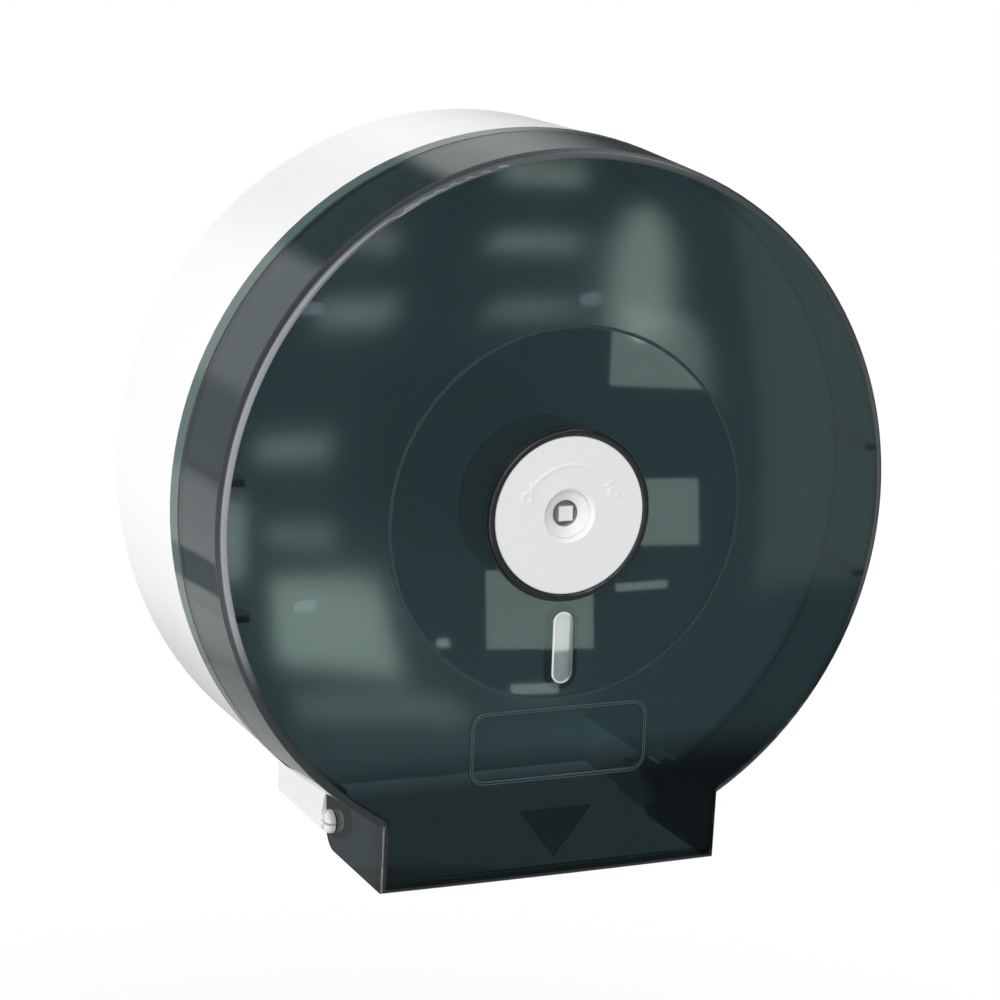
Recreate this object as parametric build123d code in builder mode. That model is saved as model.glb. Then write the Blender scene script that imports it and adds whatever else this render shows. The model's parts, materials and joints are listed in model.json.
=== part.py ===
from build123d import *

import math
import os

# Jumbo toilet roll dispenser that hangs on a wall, in millimetres.
# The origin lies on the wall, on the axis of the roll. +Z is up, +Y points into the wall and +X
# to the viewer's right. A depth is a distance in front of the wall, so it is measured along -Y.

# Clearances that the fits share
running_fit = 0.08  # radial, between a turning piece and its bearing
screw_fit = 0.05  # radial, between a screw and the hole that it grips
seat_gap = 0.3  # axial play of a piece on its seat
play = 0.5  # loose gap between neighbours that only pass each other
cut_reach = 400.0  # long enough for a cut to leave the part

# White case: a drum with a floor, a mouth at the bottom and a lip under the cover
case_radius = 137.1
case_wall = 2.6
floor_thickness = 3.0
floor_edge_radius = 2.0
seam_depth = 71.0
seam_gap = 0.4
lip_reach = 9.0
lip_wall = 1.8
lip_gap = 0.9
shoulder_width = 8.0
mouth_half_width = 69.0
mouth_wall = 3.0
mouth_trim = 0.5  # the mouth's walls end this much above the drum's lowest line

# Smoked cover: a drafted band, a slightly domed face and a skirt at the bottom
cover_overhang = 0.4
cover_taper = 3.1
cover_wall = 2.5
band_length = 47.9
rim_bead = 3.6
face_rise = 1.5
polished_radius = 70.5
polished_step = 0.25  # the polished middle stands this much proud of the satin ring round it
polished_bevel = 0.5
skirt_overlap = 13.5
skirt_drop = 4.7
skirt_root_height = 15.6
skirt_wall = 2.5
skirt_corner_radius = 9.0
skirt_edge_radius = 1.8
skirt_lip_height = 4.0
skirt_lip_thickness = 1.6
rib_levels = (18.6, -31.0)
rib_thickness = 2.0
rib_height = 7.0

# Hinge of the cover, one pin at each side of the mouth
hinge_inset = 7.3
hinge_rise = 7.1
pin_radius = 3.6
pin_head_radius = 4.6
pin_head_height = 3.4
pin_flange_radius = 6.0
pin_flange_thickness = 1.5
pin_slot_width = 1.0
ear_thickness = 3.2
ear_radius = 7.1
ear_root = 8.0

# Level window, label field and arrow on the cover's face
window_width = 8.8
window_length = 28.2
window_drop = 18.6
window_proud = 0.3
window_flange = 2.2
window_flange_thickness = 1.2
label_width = 69.4
label_length = 25.6
label_share = 0.424  # of the free height between window and arrow, above the label
label_corner_radius = 5.0
label_recess = 0.5
label_bead_width = 1.2
label_bead_height = 0.5
arrow_half_width = 14.6
arrow_length = 19.0
arrow_rise = 8.3
arrow_recess = 0.6

# Spindle that carries the roll, with its turning hub
pad_margin = 2.0
pad_height = 4.0
flange_margin = 6.5
flange_thickness = 5.0
post_wall = 2.6
post_bolt_offset = 7.0
post_bolt_count = 3
washer_thickness = 0.8
hub_radius = 32.0
hub_wall = 2.0
hub_land_wall = 4.42
hub_land_width = 9.0
hub_flange_width = 8.0
hub_flange_thickness = 2.0
hub_flute_count = 6
hub_flute_depth = 0.6
hub_flute_width = 3.0
keeper_margin = 0.8
keeper_thickness = 3.0
keeper_bolt_inset = 7.5
keeper_slot_length = 28.0
keeper_slot_width = 9.6

# Lock in the collar of the cover
collar_radius = 32.3
collar_proud = 2.0
collar_wall = 2.4
collar_gap = 0.6
disc_fit = 0.12
disc_sunk = 0.4
disc_thickness = 2.6
disc_rim_wall = 2.4
shelf_recess = 8.4
shelf_hole_radius = 16.0
rotor_radius = 9.0
rotor_sunk = 2.6
rotor_dish = 1.6
rotor_well_radius = 5.0
rotor_well_depth = 6.0
rotor_flange_radius = 11.0
rotor_flange_thickness = 1.4
rotor_neck_radius = 6.5
rotor_shaft_radius = 3.7
rotor_square = 4.6
key_post = 5.5
key_post_sunk = 0.9
bezel_chamfer = 1.2
boss_wall = 3.2
boss_stand = 0.2
retainer_thickness = 2.0
disc_bolt_radius = 22.0
disc_bolt_count = 3
latch_reach = 19.6
latch_length = 21.0
latch_width = 7.4
latch_thickness = 3.0
turn_mark_radius = 19.0
turn_mark_width = 0.9
turn_mark_height = 0.3
turn_mark_start = 36.5
turn_mark_end = 140.0
turn_symbol_radius = 2.2
turn_symbol_line = 0.8
turn_symbol_start = 23.5

# Serrated edges for tearing the paper
strip_rear_depth = 8.0
strip_thickness = 1.2
strip_height = 4.2
strip_fit = 0.05
tooth_pitch = 2.0
tooth_height = 0.9

# Screws to the wall, and the small screws inside
wall_slot_radius = 2.75
wall_slot_length = 11.0
wall_spacing_x = 120.0
wall_spacing_z = 120.0
wall_boss_margin = 4.0
wall_boss_height = 2.0
screw_radius = 1.9
screw_head_radius = 3.4
screw_head_height = 2.2
screw_grip = 5.0
small_screw_radius = 1.25
small_screw_head_radius = 2.6
small_screw_head_height = 1.6
small_screw_grip = 5.0
recess_arm = 0.9
recess_depth = 1.1

# Levels and radii that follow from the sizes above
case_bottom = mouth_trim - case_radius
case_front_depth = seam_depth - seam_gap
cover_rear_radius = case_radius + cover_overhang
cover_rim_radius = cover_rear_radius - cover_taper
rim_depth = seam_depth + band_length
face_depth = rim_depth + face_rise
skirt_rear_depth = seam_depth - skirt_overlap
skirt_bottom = case_bottom - skirt_drop
hinge_depth = skirt_rear_depth + hinge_inset
hinge_height = case_bottom + hinge_rise
cover_inner_seam_radius = cover_rear_radius - cover_wall
cover_draft = (cover_rear_radius - cover_rim_radius) / (rim_depth - seam_depth)
lip_outer_root = cover_inner_seam_radius - lip_gap
lip_outer_tip = lip_outer_root - lip_reach * cover_draft
face_inner_depth = face_depth - cover_wall
skirt_inner_half_width = mouth_half_width - skirt_wall
ear_outer_x = skirt_inner_half_width - play
ear_inner_x = ear_outer_x - ear_thickness
mouth_inner_half_width = mouth_half_width - mouth_wall
hinge_to_bottom = hinge_height - skirt_bottom
mouth_front_depth = hinge_depth - hinge_to_bottom - play
mouth_upper_depth = skirt_rear_depth - seam_gap
skirt_side_top = -math.sqrt((case_radius + play) ** 2 - mouth_half_width**2)
skirt_root = skirt_side_top + skirt_root_height
relief_half_width = mouth_half_width + play
dome_reach = 2 * case_radius - polished_radius
ear_root_depth = mouth_front_depth - ear_root
ear_height = hinge_height + ear_radius - case_bottom
strip_length = mouth_front_depth - strip_rear_depth
strip_groove = strip_height - tooth_height
strip_inner_x = mouth_half_width - mouth_wall / 2 - strip_thickness / 2 - strip_fit

window_height = -(collar_radius + window_drop)
window_low = window_height - window_length / 2
arrow_point = skirt_bottom + arrow_rise
arrow_top = arrow_point + arrow_length
label_room = window_low - arrow_top - label_length
label_height = window_low - label_share * label_room - label_length / 2

shelf_depth = face_depth - shelf_recess
boss_rear_depth = shelf_depth - boss_stand
rotor_flange_front = boss_rear_depth - seat_gap
rotor_flange_rear = rotor_flange_front - rotor_flange_thickness
retainer_front_depth = rotor_flange_rear - seat_gap - washer_thickness
retainer_rear_depth = retainer_front_depth - retainer_thickness
shelf_thickness = shelf_depth - retainer_front_depth

hub_bore_radius = hub_radius - hub_land_wall
post_radius = hub_bore_radius - running_fit
post_bolt_radius = post_radius + post_bolt_offset
flange_radius = post_bolt_radius + flange_margin
pad_radius = flange_radius + pad_margin
hub_flange_radius = hub_radius + hub_flange_width
keeper_radius = hub_radius - keeper_margin
keeper_bolt_radius = post_radius - keeper_bolt_inset
pad_depth = floor_thickness + pad_height
flange_depth = pad_depth + flange_thickness
screw_seat_depth = flange_depth - screw_head_height - seat_gap
post_end_depth = retainer_rear_depth - latch_reach
keeper_front_depth = post_end_depth + keeper_thickness
hub_rear_depth = flange_depth + washer_thickness + seat_gap
hub_front_depth = post_end_depth - seat_gap
collar_rear_depth = keeper_front_depth + collar_gap
collar_front_depth = face_depth + collar_proud
collar_bore_radius = collar_radius - collar_wall
disc_radius = collar_bore_radius - disc_fit
disc_front_depth = collar_front_depth - disc_sunk
rotor_front_depth = disc_front_depth - rotor_sunk
rotor_bore_radius = rotor_radius + running_fit
boss_radius = rotor_bore_radius + boss_wall
latch_front_depth = post_end_depth - seat_gap
latch_rear_depth = latch_front_depth - latch_thickness
latch_screw_head_radius = rotor_square / 2 * math.sqrt(2) + play
keeper_seat_depth = keeper_front_depth - small_screw_head_height - seat_gap
hub_washer_radius = post_bolt_radius - screw_head_radius - play
disc_boss_radius = small_screw_radius + boss_wall / 2
rib_start = lip_reach + play
rib_rear_radius = cover_inner_seam_radius - rib_start * cover_draft
rib_front_depth = rim_depth - rim_bead - play
turn_mark_sweep = turn_mark_end - turn_mark_start
turn_arrow_sweep = math.degrees(3 * turn_mark_width / turn_mark_radius)

os.makedirs("parts", exist_ok=True)


def front(depth):
    """Plane at a depth in front of the wall, that faces the room, with X to the right and Z up."""
    return Plane.XZ.offset(depth)


def save(piece, name):
    """Label a finished piece and write it under its own name."""
    piece.label = name
    export_step(piece, f"parts/{name}.step")


def cover_section(inset):
    """Half section of the cover's drum, in radius and y, at a distance inside its outer surface."""
    rim = (cover_rim_radius - inset, -(rim_depth - inset))
    crown = (polished_radius, -(face_depth - polished_step - inset))
    middle = (polished_radius - polished_bevel, -(face_depth - inset))
    with BuildSketch(Plane.XY) as section:
        with BuildLine():
            Line((0, -seam_depth), (cover_rear_radius - inset, -seam_depth))
            Line((cover_rear_radius - inset, -seam_depth), rim)
            TangentArc(crown, rim, tangent=(1, 0))
            Polyline(crown, middle, (0, middle[1]), (0, -seam_depth))
        make_face()
        fillet(vertices().sort_by_distance((rim[0], rim[1], 0))[0], rim_bead - inset)
    return section.sketch


def dome_section(inset):
    """Half section of the face's dome, carried on past the rim, at a distance inside its surface."""
    crown = (polished_radius, -(face_depth - polished_step - inset))
    run = cover_rim_radius - inset - polished_radius
    rise = face_rise - polished_step
    dome_radius = (run**2 + rise**2) / (2 * rise)
    fall = dome_radius - math.sqrt(dome_radius**2 - (dome_reach - polished_radius) ** 2)
    end = (dome_reach, crown[1] + fall)
    with BuildSketch(Plane.XY) as section:
        with BuildLine():
            Polyline((0, crown[1]), (0, 0), (dome_reach, 0), end)
            TangentArc(crown, end, tangent=(1, 0))
            Line(crown, (0, crown[1]))
        make_face()
    return section.sketch


def cross_recess(depth, at):
    """Crosses for a screwdriver, one in each screw, on the plane at a depth."""
    with BuildSketch(front(depth)) as crosses:
        with Locations(*at):
            Rectangle(4 * recess_arm, recess_arm)
            Rectangle(recess_arm, 4 * recess_arm)
    return crosses.sketch


def band_x(radius, level):
    """X of a circle round the roll's axis, where it crosses a level."""
    return math.sqrt(radius**2 - level**2)


def ring_places(count, radius, start):
    """Points spaced evenly round the roll's axis, as X and Z."""
    angles = [math.radians(start + 360 * k / count) for k in range(count)]
    return [(radius * math.cos(a), radius * math.sin(a)) for a in angles]


def polar_point(radius, angle):
    """A point round the roll's axis, as X and Z, from a radius and an angle in degrees."""
    return (radius * math.cos(math.radians(angle)), radius * math.sin(math.radians(angle)))


post_bolts = ring_places(post_bolt_count, post_bolt_radius, 90)
keeper_bolts = ring_places(2, keeper_bolt_radius, 0)
keeper_boss_radius = small_screw_radius + boss_wall / 1.5
disc_bolts = ring_places(disc_bolt_count, disc_bolt_radius, 270)
wall_bolts = [(x * wall_spacing_x / 2, z * wall_spacing_z / 2) for x in (-1, 1) for z in (-1, 1)]

# ---- White back case ----
with BuildPart() as back_case:
    with BuildSketch(front(0)):
        Circle(case_radius)
        Rectangle(2 * mouth_half_width, -case_bottom, align=(Align.CENTER, Align.MAX))
    extrude(amount=case_front_depth)
    fillet(faces().sort_by(Axis.Y)[-1].edges(), floor_edge_radius)
    # hollow of the drum and of the mouth
    with BuildSketch(front(floor_thickness)):
        Circle(case_radius - case_wall)
        Rectangle(2 * mouth_inner_half_width, cut_reach, align=(Align.CENTER, Align.MAX))
    extrude(amount=cut_reach, mode=Mode.SUBTRACT)
    # thick shoulder behind the seam, with the lip that reaches under the cover
    with BuildSketch(Plane.XY):
        with BuildLine():
            Polyline(
                (lip_outer_root - lip_wall, -(case_front_depth - shoulder_width)),
                (case_radius - case_wall / 2, -(case_front_depth - shoulder_width)),
                (case_radius - case_wall / 2, -case_front_depth),
                (lip_outer_root, -case_front_depth),
                (lip_outer_tip, -(seam_depth + lip_reach)),
                (lip_outer_tip - lip_wall, -(seam_depth + lip_reach)),
                close=True,
            )
        make_face()
    revolve(axis=Axis.Y)
    # the mouth stays open and its walls end behind the path of the skirt
    with BuildSketch(Plane.YZ):
        with BuildLine():
            Polyline(
                (-mouth_front_depth, case_bottom - cut_reach),
                (-mouth_front_depth, hinge_height),
                (-mouth_upper_depth, skirt_side_top),
                (-mouth_upper_depth, skirt_root),
                (-cut_reach, skirt_root),
                (-cut_reach, case_bottom - cut_reach),
                close=True,
            )
        make_face()
    extrude(amount=relief_half_width, both=True, mode=Mode.SUBTRACT)
    # ears beside the mouth that hold the hinge pins, joined to its walls at their roots
    for side in (-1, 1):
        with BuildSketch(Plane.YZ.offset(side * ear_inner_x)):
            with Locations((-ear_root_depth, case_bottom)):
                Rectangle(hinge_depth - ear_root_depth, ear_height, align=(Align.MAX, Align.MIN))
            with Locations((-hinge_depth, hinge_height)):
                Circle(ear_radius)
        extrude(amount=side * ear_thickness)
        with BuildSketch(Plane.YZ.offset(side * ear_inner_x)):
            with Locations((-ear_root_depth, case_bottom)):
                Rectangle(ear_root, ear_height, align=(Align.MAX, Align.MIN))
        extrude(amount=side * (mouth_half_width - mouth_wall / 2 - ear_inner_x))
        with BuildSketch(Plane.YZ.offset(side * ear_inner_x)):
            with Locations((-hinge_depth, hinge_height)):
                Circle(pin_radius + screw_fit)
        extrude(amount=side * ear_thickness, mode=Mode.SUBTRACT)
        # groove in the edge of the mouth for the tear strip
        with BuildSketch(Plane.YZ.offset(side * strip_inner_x)):
            with Locations((-strip_rear_depth, case_bottom)):
                Rectangle(strip_length, strip_groove, align=(Align.MAX, Align.MIN))
        extrude(amount=side * (strip_thickness + 2 * strip_fit), mode=Mode.SUBTRACT)
    # pad under the spindle, with blind holes for its screws
    with BuildSketch(front(floor_thickness)):
        Circle(pad_radius)
    extrude(amount=pad_height)
    with BuildSketch(front(pad_depth)):
        with Locations(*post_bolts):
            Circle(screw_radius + screw_fit)
    extrude(amount=-screw_grip - play, mode=Mode.SUBTRACT)
    # raised seats with slots for the wall screws
    with BuildSketch(front(floor_thickness)):
        with Locations(*wall_bolts):
            SlotOverall(wall_slot_length + 2 * wall_boss_margin, 2 * (wall_slot_radius + wall_boss_margin))
    extrude(amount=wall_boss_height)
    with BuildSketch(front(0)):
        with Locations(*wall_bolts):
            SlotOverall(wall_slot_length, 2 * wall_slot_radius)
    extrude(amount=floor_thickness + wall_boss_height, mode=Mode.SUBTRACT)
save(back_case.part, "back_case")

# ---- Serrated tear strips in the edges of the mouth ----
tooth_count = int(strip_length // tooth_pitch)
tooth_tip = case_bottom - tooth_height
for side, name in ((-1, "left"), (1, "right")):
    with BuildPart() as tear_strip:
        with BuildSketch(Plane.YZ.offset(side * (strip_inner_x + strip_fit))):
            with BuildLine():
                first = -strip_rear_depth - strip_fit
                points = [(first, case_bottom + strip_groove), (first, case_bottom)]
                for k in range(tooth_count):
                    points.append((first - (k + 0.5) * tooth_pitch, tooth_tip))
                    points.append((first - (k + 1) * tooth_pitch, case_bottom))
                points.append((points[-1][0], case_bottom + strip_groove))
                Polyline(*points, close=True)
            make_face()
        extrude(amount=side * strip_thickness)
    save(tear_strip.part, f"tear_strip_{name}")

# ---- Hinge pins, pushed out through the ears until their split heads snap over the skirt ----
for side, name in ((-1, "left"), (1, "right")):
    head_x = mouth_half_width + seat_gap
    with BuildPart() as hinge_pin:
        with BuildSketch(Plane.YZ.offset(side * (ear_inner_x - pin_flange_thickness))):
            with Locations((-hinge_depth, hinge_height)):
                Circle(pin_flange_radius)
        extrude(amount=side * pin_flange_thickness)
        with BuildSketch(Plane.YZ.offset(side * ear_inner_x)):
            with Locations((-hinge_depth, hinge_height)):
                Circle(pin_radius)
        extrude(amount=side * (head_x - ear_inner_x))
        with BuildSketch(Plane.YZ.offset(side * head_x)):
            with Locations((-hinge_depth, hinge_height)):
                Circle(pin_head_radius)
        extrude(amount=side * pin_head_height)
        crown = faces().sort_by(Axis.X)[-1 if side > 0 else 0]
        fillet(crown.edges(), pin_head_height * 0.7)
        with BuildSketch(Plane.YZ.offset(side * (head_x + pin_head_height))):
            with Locations((-hinge_depth, hinge_height)):
                Rectangle(3 * pin_head_radius, pin_slot_width)
                Rectangle(pin_slot_width, 3 * pin_head_radius)
        extrude(amount=-side * (pin_head_height + skirt_wall), mode=Mode.SUBTRACT)
    save(hinge_pin.part, f"hinge_pin_{name}")

# ---- Spindle: fixed post, its screws, turning hub and keeper plate ----
with BuildPart() as spindle_post:
    with BuildSketch(front(pad_depth)):
        Circle(flange_radius)
    extrude(amount=flange_thickness)
    with BuildSketch(front(pad_depth)):
        Circle(post_radius)
    extrude(amount=post_end_depth - pad_depth)
    with BuildSketch(front(pad_depth)):
        Circle(post_radius - post_wall)
    extrude(amount=post_end_depth - pad_depth, mode=Mode.SUBTRACT)
    # bosses inside the front end for the keeper's screws
    with BuildSketch(front(post_end_depth)):
        for side, inward in ((-1, Align.MAX), (1, Align.MIN)):
            with Locations((side * keeper_bolt_radius, 0)):
                Circle(keeper_boss_radius)
                Rectangle(post_radius - keeper_bolt_radius, keeper_boss_radius, align=(inward, Align.CENTER))
        Circle(post_radius - post_wall / 2, mode=Mode.INTERSECT)
    extrude(amount=-2 * small_screw_grip)
    with BuildSketch(front(post_end_depth)):
        with Locations(*keeper_bolts):
            Circle(small_screw_radius + screw_fit)
    extrude(amount=-small_screw_grip - play, mode=Mode.SUBTRACT)
    # counterbored holes for the screws that hold the post to the case
    with BuildSketch(front(pad_depth)):
        with Locations(*post_bolts):
            Circle(screw_radius + screw_fit)
    extrude(amount=flange_thickness, mode=Mode.SUBTRACT)
    with BuildSketch(front(screw_seat_depth)):
        with Locations(*post_bolts):
            Circle(screw_head_radius + play / 2)
    extrude(amount=flange_thickness, mode=Mode.SUBTRACT)
save(spindle_post.part, "spindle_post")

with BuildPart() as spindle_screws:
    with BuildSketch(front(screw_seat_depth)):
        with Locations(*post_bolts):
            Circle(screw_head_radius)
    extrude(amount=screw_head_height)
    fillet(faces().filter_by(Axis.Y).group_by(Axis.Y)[0].edges(), screw_head_height / 3)
    with BuildSketch(front(screw_seat_depth)):
        with Locations(*post_bolts):
            Circle(screw_radius)
    extrude(amount=-(screw_seat_depth - pad_depth) - screw_grip)
    extrude(
        cross_recess(screw_seat_depth + screw_head_height, post_bolts),
        amount=-recess_depth,
        mode=Mode.SUBTRACT,
    )
save(spindle_screws.part, "spindle_screws")

with BuildPart() as hub_washer:
    with BuildSketch(front(flange_depth)):
        Circle(hub_washer_radius)
        Circle(post_radius + seat_gap, mode=Mode.SUBTRACT)
    extrude(amount=washer_thickness)
save(hub_washer.part, "hub_washer")

with BuildPart() as roll_hub:
    with BuildSketch(front(hub_rear_depth)):
        Circle(hub_radius)
    extrude(amount=hub_front_depth - hub_rear_depth)
    fillet(faces().sort_by(Axis.Y)[0].edges(), hub_wall / 2)
    with BuildSketch(front(hub_rear_depth)):
        Circle(hub_flange_radius)
    extrude(amount=hub_flange_thickness)
    # shallow flutes along the barrel
    with BuildSketch(front(hub_rear_depth + hub_flange_thickness)):
        with PolarLocations(hub_radius, hub_flute_count):
            Rectangle(2 * hub_flute_depth, hub_flute_width)
    extrude(amount=hub_front_depth - hub_rear_depth, mode=Mode.SUBTRACT)
    # wide bore between two bearing lands
    with BuildSketch(front(hub_rear_depth)):
        Circle(hub_bore_radius)
    extrude(amount=hub_front_depth - hub_rear_depth, mode=Mode.SUBTRACT)
    with BuildSketch(front(hub_rear_depth + hub_land_width)):
        Circle(hub_radius - hub_wall)
    extrude(amount=hub_front_depth - hub_rear_depth - 2 * hub_land_width, mode=Mode.SUBTRACT)
save(roll_hub.part, "roll_hub")

with BuildPart() as keeper_plate:
    with BuildSketch(front(post_end_depth)):
        Circle(keeper_radius)
        SlotOverall(keeper_slot_length, keeper_slot_width, rotation=90, mode=Mode.SUBTRACT)
        with Locations(*keeper_bolts):
            Circle(small_screw_radius + screw_fit, mode=Mode.SUBTRACT)
    extrude(amount=keeper_thickness)
    with BuildSketch(front(keeper_seat_depth)):
        with Locations(*keeper_bolts):
            Circle(small_screw_head_radius + play / 2)
    extrude(amount=keeper_thickness, mode=Mode.SUBTRACT)
save(keeper_plate.part, "keeper_plate")

with BuildPart() as keeper_screws:
    with BuildSketch(front(keeper_seat_depth)):
        with Locations(*keeper_bolts):
            Circle(small_screw_head_radius)
    extrude(amount=small_screw_head_height)
    with BuildSketch(front(keeper_seat_depth)):
        with Locations(*keeper_bolts):
            Circle(small_screw_radius)
    extrude(amount=-(keeper_seat_depth - post_end_depth) - small_screw_grip)
    extrude(
        cross_recess(keeper_seat_depth + small_screw_head_height, keeper_bolts),
        amount=-recess_depth,
        mode=Mode.SUBTRACT,
    )
save(keeper_screws.part, "keeper_screws")

# ---- Smoked front cover ----
with BuildPart() as skirt:
    with BuildSketch(Plane.YZ):
        with BuildLine():
            Polyline(
                (-skirt_rear_depth, skirt_bottom),
                (-skirt_rear_depth, skirt_side_top),
                (-seam_depth, skirt_side_top),
                (-seam_depth, skirt_root),
                (-face_depth, skirt_root),
                (-face_depth, skirt_bottom),
                close=True,
            )
        make_face()
        rear_corner = (-skirt_rear_depth, skirt_bottom, 0)
        fillet(vertices().sort_by_distance(rear_corner)[0], skirt_corner_radius)
    extrude(amount=mouth_half_width, both=True)
    revolve(dome_section(0), axis=Axis.Y, mode=Mode.INTERSECT)
    face_edges = faces().sort_by(Axis.Y)[0].edges()
    fillet(face_edges - face_edges.group_by(Axis.Z)[-1], skirt_edge_radius)

with BuildPart() as skirt_hollow:
    with BuildSketch(front(skirt_rear_depth - play)):
        with Locations((0, skirt_root)):
            Rectangle(2 * skirt_inner_half_width, case_radius, align=(Align.CENTER, Align.MAX))
    extrude(amount=face_depth - skirt_rear_depth)
    revolve(dome_section(cover_wall), axis=Axis.Y, mode=Mode.INTERSECT)

with BuildPart() as arrow_field:
    revolve(dome_section(0), axis=Axis.Y)
    revolve(dome_section(arrow_recess), axis=Axis.Y, mode=Mode.SUBTRACT)
    with BuildSketch(front(rim_depth - cover_wall)):
        with BuildLine():
            Polyline(
                (-arrow_half_width, arrow_top), (arrow_half_width, arrow_top), (0, arrow_point), close=True
            )
        make_face()
    extrude(amount=2 * cover_wall, mode=Mode.INTERSECT)

with BuildPart() as label_field:
    revolve(cover_section(0), axis=Axis.Y)
    revolve(cover_section(label_recess), axis=Axis.Y, mode=Mode.SUBTRACT)
    with BuildSketch(front(rim_depth - cover_wall)):
        with Locations((0, label_height)):
            RectangleRounded(label_width, label_length, label_corner_radius)
    extrude(amount=2 * cover_wall, mode=Mode.INTERSECT)

with BuildPart() as label_bead:
    revolve(cover_section(-label_bead_height), axis=Axis.Y)
    revolve(cover_section(label_bead_height), axis=Axis.Y, mode=Mode.SUBTRACT)
    with BuildSketch(front(rim_depth - cover_wall)):
        with Locations((0, label_height)):
            RectangleRounded(
                label_width + 2 * label_bead_width,
                label_length + 2 * label_bead_width,
                label_corner_radius + label_bead_width,
            )
            RectangleRounded(label_width, label_length, label_corner_radius, mode=Mode.SUBTRACT)
    extrude(amount=2 * cover_wall, mode=Mode.INTERSECT)

with BuildPart() as front_cover:
    revolve(cover_section(0), axis=Axis.Y)
    add(skirt.part)
    revolve(cover_section(cover_wall), axis=Axis.Y, mode=Mode.SUBTRACT)
    # the mouth inside the skirt, whose front wall carries on the dome of the face
    add(skirt_hollow.part, mode=Mode.SUBTRACT)
    # stiff edge along the bottom of the skirt's front wall
    with BuildSketch(front(rim_depth - cover_wall - skirt_lip_thickness)):
        with Locations((0, skirt_bottom)):
            Rectangle(2 * skirt_inner_half_width, skirt_lip_height, align=(Align.CENTER, Align.MIN))
    extrude(amount=skirt_lip_thickness)
    # collar with a shelf inside, for the lock
    with BuildSketch(front(collar_rear_depth)):
        Circle(collar_radius)
    extrude(amount=collar_front_depth - collar_rear_depth)
    with BuildSketch(front(shelf_depth)):
        Circle(collar_bore_radius)
    extrude(amount=collar_front_depth - shelf_depth, mode=Mode.SUBTRACT)
    with BuildSketch(front(retainer_front_depth)):
        Circle(collar_bore_radius)
    extrude(amount=collar_rear_depth - retainer_front_depth, mode=Mode.SUBTRACT)
    with BuildSketch(front(shelf_depth)):
        Circle(shelf_hole_radius)
        with Locations(*disc_bolts):
            Circle(small_screw_radius + screw_fit)
    extrude(amount=-shelf_thickness, mode=Mode.SUBTRACT)
    fillet(edges().filter_by(GeomType.CIRCLE).group_by(Axis.Y)[0], collar_wall / 3)
    # ribs along the inside of the band, each with a taller end just behind the face
    for level in rib_levels:
        tip = band_x(cover_rim_radius - cover_wall, level)
        with BuildSketch(Plane.XY.offset(level - rib_thickness / 2)):
            with BuildLine():
                Polyline(
                    (band_x(rib_rear_radius + cover_wall / 2, level), -(seam_depth + rib_start)),
                    (band_x(rib_rear_radius, level) - rib_thickness, -(seam_depth + rib_start)),
                    (tip - rib_thickness, -(rib_front_depth - 2 * rib_height)),
                    (tip - rib_height, -(rib_front_depth - rib_height)),
                    (tip - rib_height, -rib_front_depth),
                    (band_x(cover_rim_radius - cover_wall / 2, level), -rib_front_depth),
                    close=True,
                )
            make_face()
            mirror(about=Plane.YZ)
        extrude(amount=rib_thickness)
    # window, label field and arrow
    with BuildSketch(front(face_inner_depth - cover_wall)):
        with Locations((0, window_height)):
            SlotOverall(window_length, window_width, rotation=90)
    extrude(amount=3 * cover_wall, mode=Mode.SUBTRACT)
    add(label_field.part, mode=Mode.SUBTRACT)
    add(label_bead.part)
    add(arrow_field.part, mode=Mode.SUBTRACT)
    # holes for the hinge pins
    with BuildSketch(Plane.YZ):
        with Locations((-hinge_depth, hinge_height)):
            Circle(pin_radius + running_fit)
    extrude(amount=2 * mouth_half_width, both=True, mode=Mode.SUBTRACT)
save(front_cover.part, "front_cover")

with BuildPart() as window_lens:
    with BuildSketch(front(face_inner_depth)):
        with Locations((0, window_height)):
            SlotOverall(window_length - 2 * disc_fit, window_width - 2 * disc_fit, rotation=90)
    extrude(amount=cover_wall + window_proud)
    fillet(faces().sort_by(Axis.Y)[0].edges(), window_proud * 2)
    with BuildSketch(front(face_inner_depth - window_flange_thickness)):
        with Locations((0, window_height)):
            SlotOverall(window_length + 2 * window_flange, window_width + 2 * window_flange, rotation=90)
    extrude(amount=window_flange_thickness)
save(window_lens.part, "window_lens")

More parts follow.
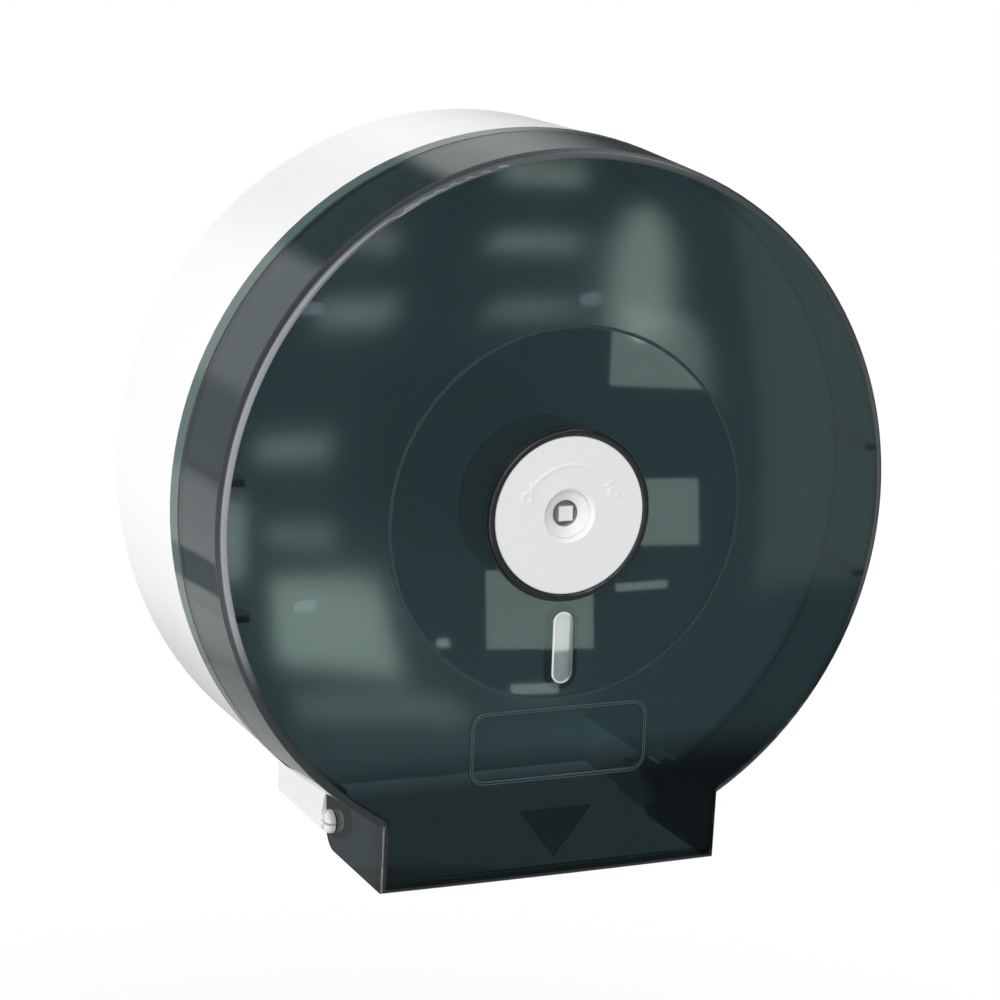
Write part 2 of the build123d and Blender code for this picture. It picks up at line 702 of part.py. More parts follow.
# ---- Lock ----
with BuildPart() as lock_disc:
    with BuildSketch(front(shelf_depth)):
        Circle(disc_radius)
    extrude(amount=disc_front_depth - shelf_depth)
    fillet(faces().sort_by(Axis.Y)[0].edges(), disc_sunk)
    with BuildSketch(front(shelf_depth)):
        Circle(disc_radius - disc_rim_wall)
        Circle(boss_radius, mode=Mode.SUBTRACT)
        with Locations(*disc_bolts):
            Circle(disc_boss_radius, mode=Mode.SUBTRACT)
    extrude(amount=disc_front_depth - disc_thickness - shelf_depth, mode=Mode.SUBTRACT)
    with BuildSketch(front(boss_rear_depth)):
        Circle(boss_radius)
    extrude(amount=shelf_depth - boss_rear_depth)
    with BuildSketch(front(boss_rear_depth)):
        Circle(rotor_bore_radius)
    extrude(amount=disc_front_depth - boss_rear_depth, mode=Mode.SUBTRACT)
    chamfer(faces().sort_by(Axis.Y)[0].edges().sort_by(SortBy.RADIUS)[0], bezel_chamfer)
    with BuildSketch(front(shelf_depth)):
        with Locations(*disc_bolts):
            Circle(small_screw_radius + screw_fit)
    extrude(amount=small_screw_grip + play, mode=Mode.SUBTRACT)
    # raised arc with two arrowheads, between a ring and a ringed dot
    with BuildSketch(front(disc_front_depth)):
        with BuildLine():
            CenterArc((0, 0), turn_mark_radius + turn_mark_width / 2, turn_mark_start, turn_mark_sweep)
            CenterArc((0, 0), turn_mark_radius - turn_mark_width / 2, turn_mark_start, turn_mark_sweep)
            for angle in (turn_mark_start, turn_mark_end):
                Line(
                    polar_point(turn_mark_radius - turn_mark_width / 2, angle),
                    polar_point(turn_mark_radius + turn_mark_width / 2, angle),
                )
        make_face()
        for angle, ahead in ((turn_mark_start, -1), (turn_mark_end, 1)):
            with BuildLine():
                Polyline(
                    polar_point(turn_mark_radius - 2 * turn_mark_width, angle),
                    polar_point(turn_mark_radius + 2 * turn_mark_width, angle),
                    polar_point(turn_mark_radius, angle + ahead * turn_arrow_sweep),
                    close=True,
                )
            make_face()
        for angle in (turn_symbol_start, 180 - turn_symbol_start):
            with Locations(polar_point(turn_mark_radius, angle)):
                Circle(turn_symbol_radius)
                Circle(turn_symbol_radius - turn_symbol_line, mode=Mode.SUBTRACT)
        with Locations(polar_point(turn_mark_radius, turn_symbol_start)):
            Circle(turn_symbol_line)
    extrude(amount=turn_mark_height)
save(lock_disc.part, "lock_disc")

with BuildPart() as rotor_retainer:
    with BuildSketch(front(retainer_rear_depth)):
        Circle(disc_radius)
        Circle(rotor_neck_radius + running_fit, mode=Mode.SUBTRACT)
        with Locations(*disc_bolts):
            Circle(small_screw_radius + screw_fit, mode=Mode.SUBTRACT)
    extrude(amount=retainer_thickness)
save(rotor_retainer.part, "rotor_retainer")

with BuildPart() as lock_disc_screws:
    with BuildSketch(front(retainer_rear_depth)):
        with Locations(*disc_bolts):
            Circle(small_screw_head_radius)
    extrude(amount=-small_screw_head_height)
    with BuildSketch(front(retainer_rear_depth)):
        with Locations(*disc_bolts):
            Circle(small_screw_radius)
    extrude(amount=retainer_thickness + shelf_thickness + small_screw_grip)
    extrude(
        cross_recess(retainer_rear_depth - small_screw_head_height, disc_bolts),
        amount=recess_depth,
        mode=Mode.SUBTRACT,
    )
save(lock_disc_screws.part, "lock_disc_screws")

with BuildPart() as rotor_washer:
    with BuildSketch(front(retainer_front_depth)):
        Circle(rotor_flange_radius - play)
        Circle(rotor_neck_radius + seat_gap, mode=Mode.SUBTRACT)
    extrude(amount=washer_thickness)
save(rotor_washer.part, "rotor_washer")

with BuildPart() as lock_rotor:
    well_floor = rotor_front_depth - rotor_well_depth
    with BuildSketch(Plane.XY):
        with BuildLine():
            Polyline(
                (0, -well_floor),
                (rotor_well_radius, -well_floor),
                (rotor_well_radius, -(rotor_front_depth - rotor_dish)),
                (rotor_radius - bezel_chamfer / 2, -rotor_front_depth),
                (rotor_radius, -rotor_front_depth),
                (rotor_radius, -rotor_flange_front),
                (rotor_flange_radius, -rotor_flange_front),
                (rotor_flange_radius, -rotor_flange_rear),
                (rotor_neck_radius, -rotor_flange_rear),
                (rotor_neck_radius, -(retainer_rear_depth - play)),
                (rotor_shaft_radius, -(retainer_rear_depth - play - rotor_neck_radius + rotor_shaft_radius)),
                (rotor_shaft_radius, -latch_front_depth),
                (0, -latch_front_depth),
                close=True,
            )
        make_face()
    revolve(axis=Axis.Y)
    with BuildSketch(front(well_floor)):
        Rectangle(key_post, key_post)
    extrude(amount=rotor_well_depth - key_post_sunk)
    with BuildSketch(front(latch_front_depth)):
        Rectangle(rotor_square, rotor_square)
    extrude(amount=-latch_thickness)
    with BuildSketch(front(latch_rear_depth)):
        Circle(small_screw_radius + screw_fit)
    extrude(amount=latch_thickness + small_screw_grip + play, mode=Mode.SUBTRACT)
save(lock_rotor.part, "lock_rotor")

with BuildPart() as latch_bar:
    with BuildSketch(front(latch_rear_depth)):
        SlotOverall(latch_length, latch_width, rotation=90)
        Rectangle(rotor_square + 2 * screw_fit, rotor_square + 2 * screw_fit, mode=Mode.SUBTRACT)
    extrude(amount=latch_thickness)
save(latch_bar.part, "latch_bar")

with BuildPart() as latch_screw:
    with BuildSketch(front(latch_rear_depth)):
        Circle(latch_screw_head_radius)
    extrude(amount=-small_screw_head_height)
    with BuildSketch(front(latch_rear_depth)):
        Circle(small_screw_radius)
    extrude(amount=latch_thickness + small_screw_grip)
    extrude(
        cross_recess(latch_rear_depth - small_screw_head_height, [(0, 0)]),
        amount=recess_depth,
        mode=Mode.SUBTRACT,
    )
save(latch_screw.part, "latch_screw")
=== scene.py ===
import bpy
import json
import math
from mathutils import Matrix, Vector


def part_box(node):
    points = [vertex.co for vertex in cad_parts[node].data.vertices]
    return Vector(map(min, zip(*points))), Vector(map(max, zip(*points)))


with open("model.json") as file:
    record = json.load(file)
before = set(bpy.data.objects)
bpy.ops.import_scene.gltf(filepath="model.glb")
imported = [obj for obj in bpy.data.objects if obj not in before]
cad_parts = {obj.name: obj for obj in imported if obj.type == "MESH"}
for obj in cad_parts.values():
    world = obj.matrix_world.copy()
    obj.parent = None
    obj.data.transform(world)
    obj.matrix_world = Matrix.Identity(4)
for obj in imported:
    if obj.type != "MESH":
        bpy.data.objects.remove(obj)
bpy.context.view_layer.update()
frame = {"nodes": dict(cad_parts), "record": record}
nodes = frame["nodes"]
scene = bpy.context.scene
scene.view_settings.view_transform = "Standard"

# ---------------------------------------------------------------- camera
AZIMUTH = math.radians(-23.57)
ELEVATION = math.radians(12.74)
ROLL = math.radians(1.95)
CAMERA_AT = Vector((-0.4662, -1.1259, 0.2552))

look = Vector(
    (
        -math.sin(AZIMUTH) * math.cos(ELEVATION),
        math.cos(AZIMUTH) * math.cos(ELEVATION),
        -math.sin(ELEVATION),
    )
)
level = Vector((math.cos(AZIMUTH), math.sin(AZIMUTH), 0))
upright = level.cross(look)
right = math.cos(ROLL) * level + math.sin(ROLL) * upright
top = -math.sin(ROLL) * level + math.cos(ROLL) * upright
camera_data = bpy.data.cameras.new("camera")
camera = bpy.data.objects.new("camera", camera_data)
scene.collection.objects.link(camera)
camera_data.lens = 111.06
camera_data.sensor_width = 36
camera_data.sensor_height = 36
camera_data.clip_start = 0.05
turn = Matrix((right, top, -look)).transposed()
camera.matrix_world = Matrix.Translation(CAMERA_AT) @ turn.to_4x4()
scene.camera = camera


# ---------------------------------------------------------------- node helpers
class Net:
    """A material's node tree, with short calls for the nodes used here."""

    def __init__(self, name):
        self.material = bpy.data.materials.new(name)
        self.material.use_nodes = True
        self.tree = self.material.node_tree
        self.tree.nodes.clear()
        self.out = self.tree.nodes.new("ShaderNodeOutputMaterial")

    def node(self, kind, **values):
        made = self.tree.nodes.new(kind)
        for key, value in values.items():
            setattr(made, key, value)
        return made

    def link(self, source, target):
        self.tree.links.new(source, target)

    def place(self):
        """Object coordinates, in metres: they are the row frame at rest."""
        return self.node("ShaderNodeTexCoord").outputs["Object"]

    def scaled(self, vector, scale):
        mapping = self.node("ShaderNodeMapping")
        mapping.inputs["Scale"].default_value = scale
        self.link(vector, mapping.inputs["Vector"])
        return mapping.outputs["Vector"]

    def noise(self, vector, scale, detail=3.0, rough=0.5):
        made = self.node("ShaderNodeTexNoise")
        made.inputs["Scale"].default_value = scale
        made.inputs["Detail"].default_value = detail
        made.inputs["Roughness"].default_value = rough
        self.link(vector, made.inputs["Vector"])
        return made.outputs["Fac"]

    def math(self, operation, a, b=None, c=None, clamp=False):
        made = self.node("ShaderNodeMath", operation=operation, use_clamp=clamp)
        for socket, value in zip(made.inputs, (a, b, c)):
            if value is None:
                continue
            if isinstance(value, (int, float)):
                socket.default_value = value
            else:
                self.link(value, socket)
        return made.outputs[0]

    def span(self, value, low, high, to_low=0.0, to_high=1.0, smooth=True):
        made = self.node("ShaderNodeMapRange")
        made.interpolation_type = "SMOOTHSTEP" if smooth else "LINEAR"
        for key, number in (("From Min", low), ("From Max", high), ("To Min", to_low), ("To Max", to_high)):
            made.inputs[key].default_value = number
        self.link(value, made.inputs["Value"])
        return made.outputs["Result"]

    def mix_number(self, factor, a, b):
        made = self.node("ShaderNodeMix", data_type="FLOAT")
        for socket, value in ((made.inputs[0], factor), (made.inputs[2], a), (made.inputs[3], b)):
            if isinstance(value, (int, float)):
                socket.default_value = value
            else:
                self.link(value, socket)
        return made.outputs[0]

    def mix_colour(self, factor, a, b):
        made = self.node("ShaderNodeMix", data_type="RGBA")
        for socket, value in ((made.inputs[0], factor), (made.inputs[6], a), (made.inputs[7], b)):
            if isinstance(value, (int, float)):
                socket.default_value = value
            elif isinstance(value, tuple):
                socket.default_value = (*value, 1.0)
            else:
                self.link(value, socket)
        return made.outputs[2]

    def bump(self, height, distance, strength=1.0):
        made = self.node("ShaderNodeBump")
        made.inputs["Strength"].default_value = strength
        made.inputs["Distance"].default_value = distance
        self.link(height, made.inputs["Height"])
        return made.outputs["Normal"]

    def plastic(self, **values):
        made = self.node("ShaderNodeBsdfPrincipled")
        for key, value in values.items():
            socket = made.inputs[key.replace("_", " ")]
            if isinstance(value, bpy.types.NodeSocket):
                self.link(value, socket)
            elif isinstance(value, tuple):
                socket.default_value = (*value, 1.0)
            else:
                socket.default_value = value
        return made

    def finish(self, shader):
        self.link(shader, self.out.inputs["Surface"])
        return self.material


def moulded(name, colour, rough, grain, grain_height, cloud=0.02, painted_well_shade=None):
    """Moulded plastic: a fine spark grain, faint flow clouds in colour and gloss, and painted shade in a well if it has
    one.
    """
    net = Net(name)
    at = net.place()
    flow = net.noise(net.scaled(at, (1.0, 2.2, 1.0)), 14.0, 4.0)
    fine = net.noise(at, grain, 2.0, 0.6)
    darker = tuple(c * (1 - cloud) for c in colour)
    tone = net.mix_colour(flow, darker, colour)
    if painted_well_shade:
        # painted shade: the well round the key post is darkened
        reach, mouth, shade = painted_well_shade
        split = net.node("ShaderNodeSeparateXYZ")
        net.link(at, split.inputs[0])
        x, y, z = split.outputs
        radius = net.math("SQRT", net.math("ADD", net.math("MULTIPLY", x, x), net.math("MULTIPLY", z, z)))
        within = net.math("MULTIPLY", net.math("LESS_THAN", radius, reach), net.math("GREATER_THAN", y, mouth))
        tone = net.mix_colour(within, tone, tuple(c * shade for c in colour))
    gloss = net.span(flow, 0.15, 0.85, rough * 0.9, rough * 1.1, smooth=False)
    shader = net.plastic(
        Base_Color=tone,
        Roughness=gloss,
        Normal=net.bump(fine, grain_height),
        IOR=1.5,
    )
    return net.finish(shader.outputs[0])


def smoked():
    """Smoked see-through plastic: polished in the middle, satin round it, glossy on the band."""
    net = Net("smoked_cover")
    at = net.place()
    split = net.node("ShaderNodeSeparateXYZ")
    net.link(at, split.inputs[0])
    x, y, z = split.outputs

    def times(*masks):
        product = masks[0]
        for mask in masks[1:]:
            product = net.math("MULTIPLY", product, mask)
        return product

    def length(a, b):
        return net.math("SQRT", net.math("ADD", net.math("MULTIPLY", a, a), net.math("MULTIPLY", b, b)))

    radius = length(x, z)
    aside = net.math("ABSOLUTE", x)
    ahead = net.span(y, -0.1168, -0.1160, 1.0, 0.0)
    # painted shade: the tint darkens down toward the skirt, where less light comes through from behind
    skirt_shade = net.span(z, -0.1050, -0.0830, 1.0, 0.0)
    within = times(net.span(aside, 0.0686, 0.0690, 1.0, 0.0), net.span(z, -0.1100, -0.1090, 1.0, 0.0))
    # the satin field lies on the face, from the polished middle to the bead, and down the skirt
    field = times(net.span(radius, 0.0702, 0.0709), net.span(radius, 0.1305, 0.1322, 1.0, 0.0))
    field = times(net.math("MAXIMUM", field, within), net.span(y, -0.1175, -0.1170, 1.0, 0.0))
    # the label's sunk field is smoother again, with a bead round it that carries a painted highlight
    over = net.math("SUBTRACT", aside, 0.0297)
    above = net.math("SUBTRACT", net.math("ABSOLUTE", net.math("ADD", z, 0.0877)), 0.0078)
    corner = length(net.math("MAXIMUM", over, 0.0), net.math("MAXIMUM", above, 0.0))
    border = net.math("ADD", corner, net.math("MINIMUM", net.math("MAXIMUM", over, above), 0.0))
    label = net.span(border, 0.0049, 0.0051, 1.0, 0.0)
    bead_highlight = net.math("COMPARE", net.math("ABSOLUTE", net.math("SUBTRACT", border, 0.0056)), 0.00045, 0.00013)
    bead_highlight = times(bead_highlight, ahead)
    # the sunk arrow
    slope = net.math("MULTIPLY_ADD", net.math("ADD", z, 0.1330), 0.7684, net.math("MULTIPLY", aside, -1.0))
    arrow = times(net.span(slope, -0.0001, 0.0001), net.span(z, -0.1141, -0.1139, 1.0, 0.0), ahead)
    # rolled edge of the face, rear edge over the case's lip, collar and the thick edge of the skirt
    rolled = times(net.span(radius, 0.1309, 0.1316), net.span(radius, 0.1332, 0.1338, 1.0, 0.0), ahead)
    rolled = times(rolled, net.math("SUBTRACT", 1.0, within))
    outside = net.span(radius, 0.1310, 0.1320)
    # painted light: the band's rear strip over the case's lip is paler and solid, standing in for the lit white lip
    # seen through it
    lip_light_strip = times(net.span(y, -0.0788, -0.0784), outside, net.span(z, -0.1160, -0.1140))
    line = times(net.span(y, -0.0803, -0.0799), net.span(y, -0.0788, -0.0786, 1.0, 0.0), outside)
    line = times(line, net.span(z, -0.1160, -0.1140))
    collar = times(net.span(radius, 0.0328, 0.0332, 1.0, 0.0), net.span(y, -0.1150, -0.1140, 1.0, 0.0))
    thick = times(net.span(z, -0.1375, -0.1371, 1.0, 0.0), net.span(y, -0.1125, -0.1115, 1.0, 0.0))
    # painted reflection: a dark line along the band side of the rim's turn, standing in for dark surroundings mirrored
    # there
    turn = times(net.span(radius, 0.1333, 0.1337), net.span(y, -0.1152, -0.1146, 1.0, 0.0))
    turn = times(turn, net.span(z, -0.1160, -0.1140))
    step = times(net.span(radius, 0.0696, 0.0699), net.span(radius, 0.0707, 0.0710, 1.0, 0.0), ahead)
    # ribs inside the band
    rib = net.math("MAXIMUM", net.math("COMPARE", z, 0.0186, 0.0012), net.math("COMPARE", z, -0.0310, 0.0012))
    root = times(net.span(radius, 0.1262, 0.1266), net.span(radius, 0.1311, 0.1315, 1.0, 0.0), ahead)
    inside = times(net.span(radius, 0.1324, 0.1326, 1.0, 0.0), net.span(y, -0.1160, -0.1155))
    rib = times(rib, net.math("MAXIMUM", root, inside))

    satin = times(field, net.math("SUBTRACT", 1.0, label))
    fine = net.noise(at, 2600.0, 2.0, 0.6)
    flow = net.noise(at, 18.0, 4.0)
    rough = net.mix_number(satin, net.span(flow, 0.15, 0.85, 0.013, 0.027), net.span(flow, 0.15, 0.85, 0.068, 0.084))
    rough = net.mix_number(net.math("MAXIMUM", rolled, arrow), rough, 0.2)
    rough = net.mix_number(collar, rough, 0.25)
    rough = net.mix_number(net.math("MAXIMUM", line, turn), rough, 0.5)
    rough = net.mix_number(step, rough, 0.9)
    grain = net.math("MULTIPLY", fine, net.math("MULTIPLY_ADD", satin, 0.9, 0.02))
    tint = net.mix_colour(flow, (0.074, 0.126, 0.131), (0.081, 0.136, 0.142))
    # painted highlight on the rolled edge: palest on the left, darker downward and pale again on the far right, as
    # light falls on the rim
    edge = net.mix_colour(net.span(x, -0.128, -0.07), (0.32, 0.335, 0.355), (0.075, 0.09, 0.094))
    edge = net.mix_colour(net.span(x, 0.115, 0.130), edge, (0.13, 0.14, 0.145))
    edge = net.mix_colour(net.span(z, -0.062, -0.030, 1.0, 0.0), edge, (0.02, 0.028, 0.030))
    for mask, colour in (
        # painted shade toward the skirt
        (times(skirt_shade, net.span(y, -0.11, -0.109, 1.0, 0.9)), (0.017, 0.030, 0.033)),
        (arrow, (0.007, 0.013, 0.014)),
        (thick, (0.006, 0.010, 0.011)),
        # painted highlight on the label's bead
        (bead_highlight, (0.100, 0.140, 0.140)),
        # painted highlight on the rolled edge
        (rolled, edge),
        # painted light over the case's lip
        (lip_light_strip, (0.100, 0.160, 0.152)),
        (line, (0.010, 0.014, 0.016)),
        # painted dark reflection on the rim's turn
        (turn, (0.010, 0.014, 0.016)),
        (collar, (0.012, 0.016, 0.018)),
        (rib, (0.004, 0.006, 0.007)),
    ):
        tint = net.mix_colour(mask, tint, colour)
    solid = net.math("MAXIMUM", net.math("MAXIMUM", rolled, lip_light_strip), net.math("MAXIMUM", bead_highlight, collar))
    solid = net.math("MAXIMUM", net.math("MAXIMUM", solid, turn), net.math("MAXIMUM", line, rib))
    shader = net.plastic(
        Base_Color=tint,
        Roughness=rough,
        Normal=net.bump(grain, 0.0000015),
        IOR=1.49,
        Transmission_Weight=net.mix_number(solid, 0.84, 0.1),
    )
    passes = net.node("ShaderNodeBsdfTransparent")
    passes.inputs["Color"].default_value = (0.36, 0.42, 0.43, 1.0)
    path = net.node("ShaderNodeLightPath")
    both = net.node("ShaderNodeMixShader")
    net.link(path.outputs["Is Shadow Ray"], both.inputs[0])
    net.link(shader.outputs[0], both.inputs[1])
    net.link(passes.outputs[0], both.inputs[2])
    return net.finish(both.outputs[0])


def clear():
    """Clear lens of the level window, with painted light and shade on it."""
    net = Net("clear_lens")
    at = net.place()
    flow = net.noise(at, 90.0, 3.0)
    split = net.node("ShaderNodeSeparateXYZ")
    net.link(at, split.inputs[0])
    x, y, z = split.outputs
    along = net.math("SUBTRACT", net.math("ABSOLUTE", net.math("ADD", z, 0.0507)), 0.0098)
    along = net.math("MAXIMUM", along, 0.0)
    aside = net.math("ADD", x, 0.0003)
    away = net.math("SQRT", net.math("ADD", net.math("MULTIPLY", aside, aside), net.math("MULTIPLY", along, along)))
    # painted light and shade: paler and less clear on top, a painted dark outline and glint ring at the front, painted
    # shade on the right side
    level = net.span(z, -0.0535, -0.0505)
    front = net.span(y, -0.1195, -0.1190, 1.0, 0.0)
    border = net.math("MULTIPLY", net.span(away, 0.0038, 0.0041), front)
    glint = net.math("MULTIPLY", net.math("COMPARE", away, 0.0036, 0.0003), front)
    shade = net.math("MULTIPLY", net.span(x, 0.0018, 0.0032), front)
    tone = net.mix_colour(level, (0.72, 0.77, 0.77), (0.87, 0.89, 0.90))
    tone = net.mix_colour(glint, net.mix_colour(border, tone, (0.05, 0.065, 0.068)), (0.95, 0.95, 0.95))
    tone = net.mix_colour(shade, tone, (0.18, 0.22, 0.22))
    through = net.span(level, 0.0, 1.0, 0.95, 0.5)
    shader = net.plastic(
        Base_Color=tone,
        Roughness=net.span(flow, 0.3, 0.7, 0.03, 0.08),
        Normal=net.bump(net.noise(at, 700.0, 2.0), 0.00001),
        IOR=1.49,
        Transmission_Weight=net.mix_number(net.math("MAXIMUM", border, glint), through, 0.25),
    )
    passes = net.node("ShaderNodeBsdfTransparent")
    passes.inputs["Color"].default_value = (0.93, 0.94, 0.94, 1.0)
    path = net.node("ShaderNodeLightPath")
    both = net.node("ShaderNodeMixShader")
    net.link(path.outputs["Is Shadow Ray"], both.inputs[0])
    net.link(shader.outputs[0], both.inputs[1])
    net.link(passes.outputs[0], both.inputs[2])
    return net.finish(both.outputs[0])


def steel(name, colour, rough, stretch):
    """Drawn or plated steel: fine scratches along one way, cloudy sheen."""
    net = Net(name)
    at = net.place()
    lines = net.noise(net.scaled(at, stretch), 900.0, 4.0, 0.6)
    cloud = net.noise(at, 160.0, 3.0)
    tone = net.mix_colour(cloud, tuple(c * 0.88 for c in colour), colour)
    shader = net.plastic(
        Base_Color=tone,
        Roughness=net.span(lines, 0.25, 0.75, rough * 0.75, rough * 1.25),
        Normal=net.bump(lines, 0.00001),
        Metallic=1.0,
    )
    return net.finish(shader.outputs[0])


finishes = {
    "white_plastic": moulded("white_case", (0.93, 0.928, 0.94), 0.3, 1800.0, 0.000006),
    "strip_plastic": moulded("white_teeth", (0.88, 0.88, 0.89), 0.35, 1800.0, 0.000008),
    "pin_plastic": moulded("white_pins", (0.92, 0.92, 0.93), 0.28, 1800.0, 0.000006),
    "hub_plastic": moulded("grey_hub", (0.8, 0.81, 0.81), 0.45, 1500.0, 0.00001),
    "lock_plastic": moulded("satin_lock", (0.93, 0.928, 0.95), 0.42, 1500.0, 0.00001, painted_well_shade=(0.0051, -0.1181, 0.6)),
    "smoked_plastic": smoked(),
    "clear_plastic": clear(),
    "latch_steel": steel("latch_steel", (0.62, 0.62, 0.63), 0.35, (1.0, 1.0, 0.05)),
    "screw_steel": steel("screw_steel", (0.66, 0.66, 0.67), 0.3, (1.0, 0.1, 1.0)),
}

slots = {part["node"]: part["material_slot"] for part in frame["record"]["subparts"]}
for name, made in nodes.items():
    for slot in made.material_slots:
        slot.material = finishes[slots[name]]


# ---------------------------------------------------------------- studio
def lamp(name, at, aim, width, height, power, colour=(1.0, 1.0, 1.0)):
    """A soft rectangular lamp at a point, turned to another point."""
    data = bpy.data.lights.new(name, "AREA")
    data.shape = "RECTANGLE"
    data.size = width
    data.size_y = height
    data.energy = power
    data.color = colour
    made = bpy.data.objects.new(name, data)
    scene.collection.objects.link(made)
    made.location = at
    made.rotation_euler = (Vector(aim) - Vector(at)).to_track_quat("-Z", "Y").to_euler()
    made.visible_camera = False
    return made


lamp("key_left", (-1.5, -0.7, 0.9), (0, -0.06, 0), 1.1, 1.1, 1.8)
lamp("top_right", (0.9, 0.1, 1.5), (0, -0.04, 0), 1.0, 0.8, 8.0)
lamp("front", (-0.5, -1.9, 1.1), (0, -0.06, 0), 1.0, 0.8, 12.0)
lamp("edge_left", (-1.5, -0.55, -0.25), (0, -0.1, 0), 0.3, 1.4, 3.2)
lamp("low_left", (-1.5, 0.1, -0.75), (0, -0.03, -0.05), 0.9, 0.5, 5.0)


def window(name, corners, radiance, colour=(0.8, 1.0, 0.9)):
    """A small bright pane whose mirror image lies on the cover's face."""
    a, b, c, d = (Vector(p) for p in corners)
    middle = (a + b + c + d) / 4
    across = ((b - a) + (c - d)) / 2
    along = ((d - a) + (c - b)) / 2
    along -= across * (along.dot(across) / across.dot(across))
    face = Vector((0, -0.1204, 0))
    normal = (face - middle).normalized()
    data = bpy.data.lights.new(name, "AREA")
    data.shape = "RECTANGLE"
    data.size = across.length
    data.size_y = along.length
    data.energy = radiance * math.pi * across.length * along.length
    data.color = colour
    made = bpy.data.objects.new(name, data)
    scene.collection.objects.link(made)
    x_axis = (across - normal * across.dot(normal)).normalized()
    z_axis = -normal
    y_axis = z_axis.cross(x_axis)
    made.matrix_world = Matrix.Translation(middle) @ Matrix((x_axis, y_axis, z_axis)).transposed().to_4x4()
    made.visible_camera = False
    return made


PANES = (
    ("pane_a", ((0.697, -1.544, -0.16), (0.79, -1.52, -0.16), (0.78, -1.52, -0.249), (0.695, -1.54, -0.244)), 2.3),
    ("pane_b", ((0.70, -1.53, -0.327), (0.778, -1.508, -0.328), (0.762, -1.505, -0.385), (0.69, -1.52, -0.387)), 2.3),
    ("pane_c", ((0.586, -1.544, -0.405), (0.678, -1.52, -0.41), (0.672, -1.514, -0.475), (0.579, -1.535, -0.479)), 2.3),
    ("pane_d", ((0.697, -1.517, -0.4205), (0.743, -1.505, -0.4175), (0.741, -1.505, -0.4245), (0.697, -1.515, -0.4275)), 2.7),
    ("pane_e", ((0.317, -1.607, -0.425), (0.495, -1.565, -0.415), (0.475, -1.555, -0.52), (0.31, -1.59, -0.525)), 4.3),
    ("pane_f", ((0.338, -1.579, -0.559), (0.55, -1.532, -0.53), (0.545, -1.527, -0.565), (0.33, -1.57, -0.595)), 1.5),
    ("pane_g", ((0.31, -1.62, -0.363), (0.415, -1.593, -0.367), (0.415, -1.59, -0.387), (0.305, -1.616, -0.386)), 2.6),
    ("pane_h", ((0.287, -1.64, -0.262), (0.402, -1.612, -0.271), (0.406, -1.606, -0.297), (0.29, -1.635, -0.288)), 3.2),
    ("pane_i", ((0.36, -1.64, -0.102), (0.461, -1.618, -0.118), (0.468, -1.61, -0.15), (0.365, -1.638, -0.135)), 3.4),
    ("pane_j", ((0.39, -1.645, -0.012), (0.453, -1.628, -0.025), (0.459, -1.624, -0.056), (0.395, -1.64, -0.04)), 2.8),
    ("pane_k", ((0.575, -1.584, -0.14), (0.66, -1.557, -0.152), (0.66, -1.551, -0.186), (0.583, -1.575, -0.172)), 2.0),
    ("pane_l", ((0.57, -1.597, -0.042), (0.666, -1.565, -0.052), (0.666, -1.561, -0.082), (0.572, -1.592, -0.072)), 3.0),
    ("pane_m", ((0.575, -1.602, 0.06), (0.672, -1.57, 0.05), (0.672, -1.567, 0.02), (0.578, -1.598, 0.03)), 3.2),
    ("pane_p", ((0.250, -1.637, -0.335), (0.272, -1.632, -0.335), (0.270, -1.615, -0.425), (0.247, -1.619, -0.425)), 5.2),
    ("pane_q", ((0.600, -1.526, -0.508), (0.645, -1.515, -0.508), (0.642, -1.515, -0.517), (0.604, -1.522, -0.517)), 3.0),
    ("pane_r", ((0.537, -1.547, -0.468), (0.548, -1.544, -0.467), (0.550, -1.543, -0.474), (0.539, -1.545, -0.475)), 4.0),
    ("pane_n", ((0.845, -1.5, 0.06), (1.04, -1.43, 0.06), (1.04, -1.39, -0.44), (0.845, -1.47, -0.44)), 0.62),
)
for name, corners, radiance in PANES:
    window(name, corners, radiance)


def streak():
    """A long tilted oval lamp, whose soft image stands beside the polished middle."""
    corners = ((0.70, -1.55, 0.0), (0.745, -1.545, -0.005), (0.785, -1.52, -0.215), (0.70, -1.542, -0.205))
    made = window("pane_o", corners, 3.8)
    made.data.shape = "ELLIPSE"
    made.data.energy *= math.pi / 4
    return made


streak()


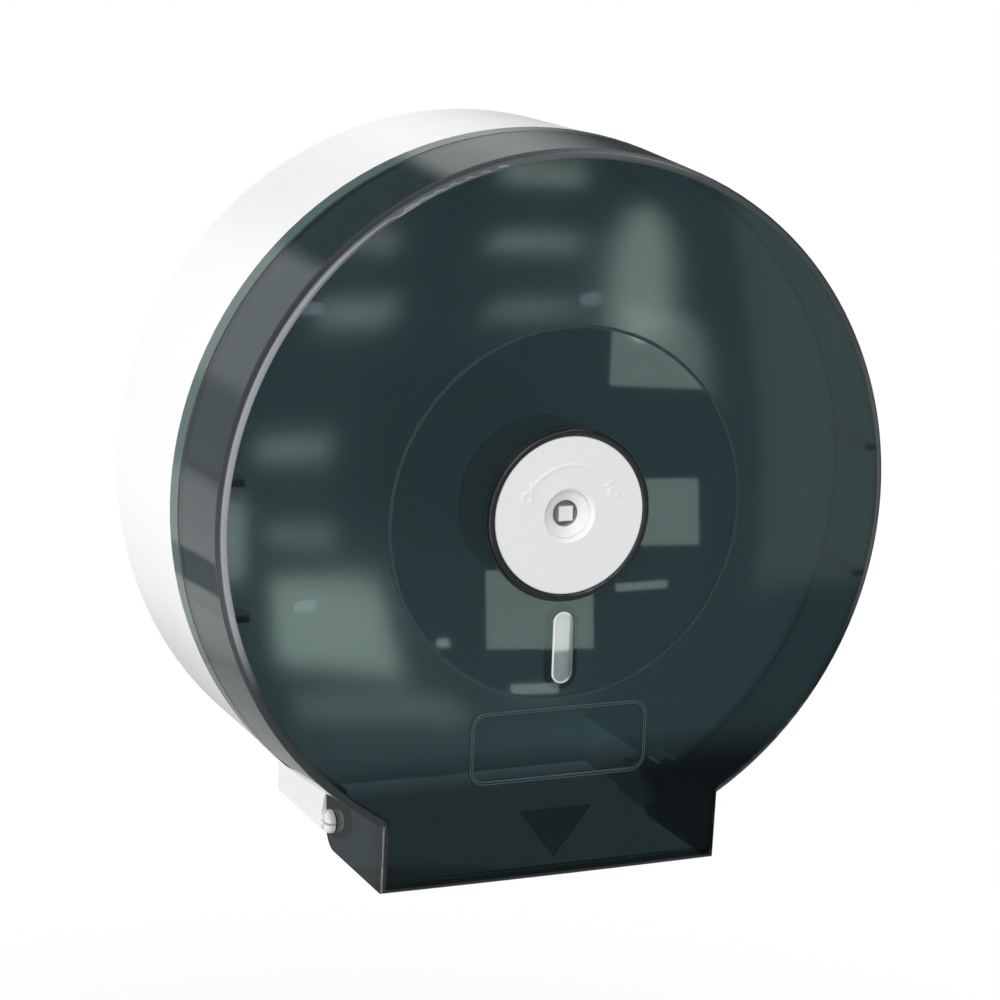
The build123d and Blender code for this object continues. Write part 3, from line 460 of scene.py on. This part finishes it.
def backdrop():
    """White for the camera and through the see-through parts, and dim in front for the gloss."""
    world = bpy.data.worlds.new("studio")
    scene.world = world
    world.use_nodes = True
    tree = world.node_tree
    tree.nodes.clear()
    out = tree.nodes.new("ShaderNodeOutputWorld")
    plain = tree.nodes.new("ShaderNodeBackground")
    plain.inputs["Color"].default_value = (1, 1, 1, 1)
    plain.inputs["Strength"].default_value = 1.0
    room = tree.nodes.new("ShaderNodeBackground")
    coordinates = tree.nodes.new("ShaderNodeTexCoord")

    def toward(direction, start, end, low, high):
        """Strength that goes from low to high as a direction of the world is neared."""
        facing = tree.nodes.new("ShaderNodeVectorMath")
        facing.operation = "DOT_PRODUCT"
        facing.inputs[1].default_value = Vector(direction).normalized()
        tree.links.new(coordinates.outputs["Generated"], facing.inputs[0])
        ramp = tree.nodes.new("ShaderNodeMapRange")
        ramp.interpolation_type = "SMOOTHSTEP"
        for key, value in (("From Min", start), ("From Max", end), ("To Min", low), ("To Max", high)):
            ramp.inputs[key].default_value = value
        tree.links.new(facing.outputs["Value"], ramp.inputs["Value"])
        return ramp.outputs["Result"]

    strength = toward((0.8, 0.0, -0.6), 0.02, 0.34, 1.0, 0.06)
    for card in (
        toward((-0.05, 0.88, 0.468), 0.972, 0.988, 1.0, 0.05),
        toward((-0.475, 0.88, 0.0), 0.988, 0.997, 1.0, 0.45),
        toward((-0.337, 0.883, -0.327), 0.9986, 0.9994, 1.0, 0.3),
    ):
        both = tree.nodes.new("ShaderNodeMath")
        both.operation = "MULTIPLY"
        tree.links.new(strength, both.inputs[0])
        tree.links.new(card, both.inputs[1])
        strength = both.outputs[0]
    tree.links.new(strength, room.inputs["Strength"])
    path = tree.nodes.new("ShaderNodeLightPath")
    seen = tree.nodes.new("ShaderNodeMath")
    seen.operation = "MAXIMUM"
    tree.links.new(path.outputs["Is Camera Ray"], seen.inputs[0])
    tree.links.new(path.outputs["Is Transmission Ray"], seen.inputs[1])
    both = tree.nodes.new("ShaderNodeMixShader")
    tree.links.new(seen.outputs[0], both.inputs[0])
    tree.links.new(room.outputs[0], both.inputs[1])
    tree.links.new(plain.outputs[0], both.inputs[2])
    tree.links.new(both.outputs[0], out.inputs["Surface"])


backdrop()


def floor():
    """A round pale floor below the dispenser, that keeps its shadow."""
    net = Net("pale_floor")
    at = net.place()
    tone = net.mix_colour(net.noise(at, 3.0, 3.0), (0.46, 0.46, 0.46), (0.5, 0.5, 0.5))
    shader = net.plastic(Base_Color=tone, Roughness=0.7)
    shine = net.node("ShaderNodeEmission")
    shine.inputs["Strength"].default_value = 1.0
    path = net.node("ShaderNodeLightPath")
    reach = net.node("ShaderNodeVectorMath", operation="LENGTH")
    net.link(net.scaled(at, (1.0, 1.0, 0.0)), reach.inputs[0])
    edge = net.span(reach.outputs["Value"], 0.1, 0.6, 0.86, 1.0)
    share = net.math("MULTIPLY", path.outputs["Is Camera Ray"], edge)
    both = net.node("ShaderNodeMixShader")
    net.link(share, both.inputs[0])
    net.link(shader.outputs[0], both.inputs[1])
    net.link(shine.outputs[0], both.inputs[2])
    mesh = bpy.data.meshes.new("floor")
    count = 96
    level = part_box("front_cover")[0].z - 0.25
    points = [
        (0.6 * math.cos(2 * math.pi * k / count), 0.6 * math.sin(2 * math.pi * k / count), level)
        for k in range(count)
    ]
    mesh.from_pydata(points, [], [list(range(count))])
    made = bpy.data.objects.new("floor", mesh)
    scene.collection.objects.link(made)
    mesh.materials.append(net.finish(both.outputs[0]))


floor()
